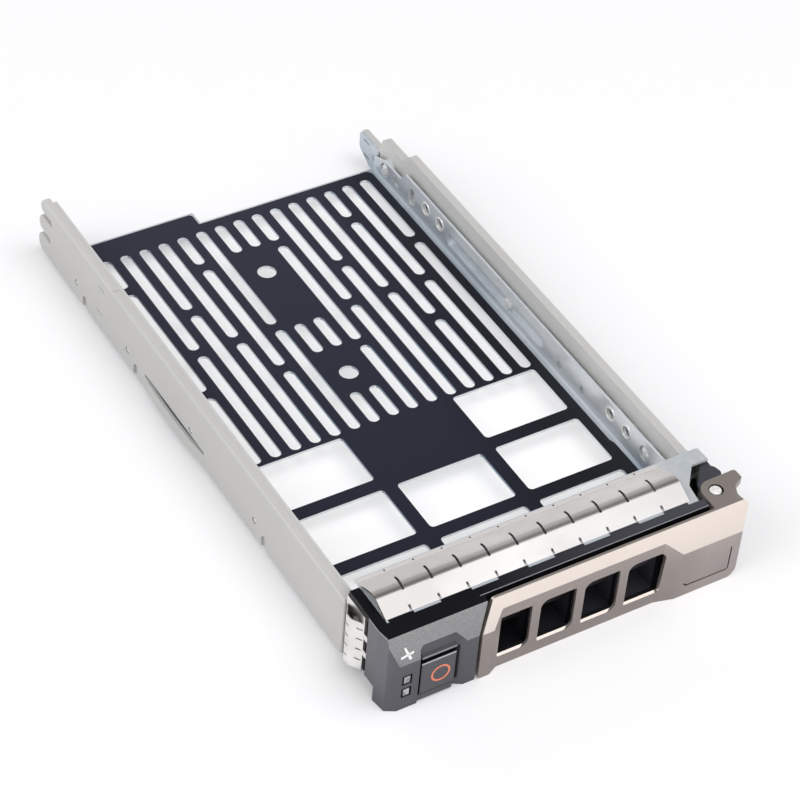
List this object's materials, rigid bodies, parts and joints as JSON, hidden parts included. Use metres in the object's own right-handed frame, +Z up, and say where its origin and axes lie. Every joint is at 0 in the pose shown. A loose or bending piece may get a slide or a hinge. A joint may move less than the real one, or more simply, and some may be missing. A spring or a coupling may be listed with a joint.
{
  "type": "hot swap drive caddy",
  "caption": "Slide-in tray for a 3.5 inch drive, with side rails, a ventilated front bezel, a swinging handle, a sprung release button and grounding strips.",
  "frame": {"origin": "on the drive's centre line, at the foot of the bezel's front face", "axes": "+X to the right seen from the front, +Y from the bezel to the rear (the way it slides in), +Z up"},
  "size_m": [0.1175, 0.2079, 0.0294],
  "materials": {
    "zinc_sheet": "zinc coated, satin",
    "black_film": "matt film",
    "rail_metal": "fine satin coat",
    "rivet_metal": "satin",
    "black_plastic": "fine grain",
    "grey_plastic": "textured, slightly metallic",
    "button_plastic": "satin",
    "orange_plastic": "satin",
    "spring_wire": "bright wire",
    "catch_plastic": "moulded",
    "handle_paint": "metallic champagne paint",
    "spring_steel": "bright rolled",
    "clear_plastic": "frosted clear"
  },
  "bodies": {
    "carrier": {"tray_pan": "zinc_sheet", "insulator_film": "black_film", "left_rail": "rail_metal", "right_rail": "rail_metal", "rail_rivets": "rivet_metal", "bezel_body": "black_plastic", "bezel_cover": "grey_plastic", "button_spring": "spring_wire", "pivot_pin": "rivet_metal", "handle_spring": "spring_wire", "shield_bracket": "zinc_sheet", "shield_rivets": "rivet_metal", "top_contact_strip": "spring_steel", "side_contact_strip": "spring_steel", "upper_light_pipe": "clear_plastic", "lower_light_pipe": "clear_plastic", "bezel_screws": "rivet_metal"},
    "front_handle": {"handle": "handle_paint"},
    "button": {"release_button": "button_plastic", "button_ring": "orange_plastic"},
    "catch": {"latch_catch": "catch_plastic"}
  },
  "joints": [
    {"name": "handle_hinge", "type": "hinge", "parent": "carrier", "child": "front_handle", "pos_m": [0.0509, 0.009, 0.0125], "axis": [0, 0, 1], "range_deg": [0, 60]},
    {"name": "button_slide", "type": "slide", "parent": "carrier", "child": "button", "axis": [0, 1, 0], "range_m": [0, 0.002], "stiffness_N_per_m": 500, "deforming": ["button_spring"]},
    {"name": "catch_slide", "type": "slide", "parent": "carrier", "child": "catch", "axis": [-1, 0, 0], "range_m": [0, 0.0012]}
  ],
  "couplings": [
    {"joint": "catch_slide", "follows": "button_slide", "ratio": 0.6}
  ]
}
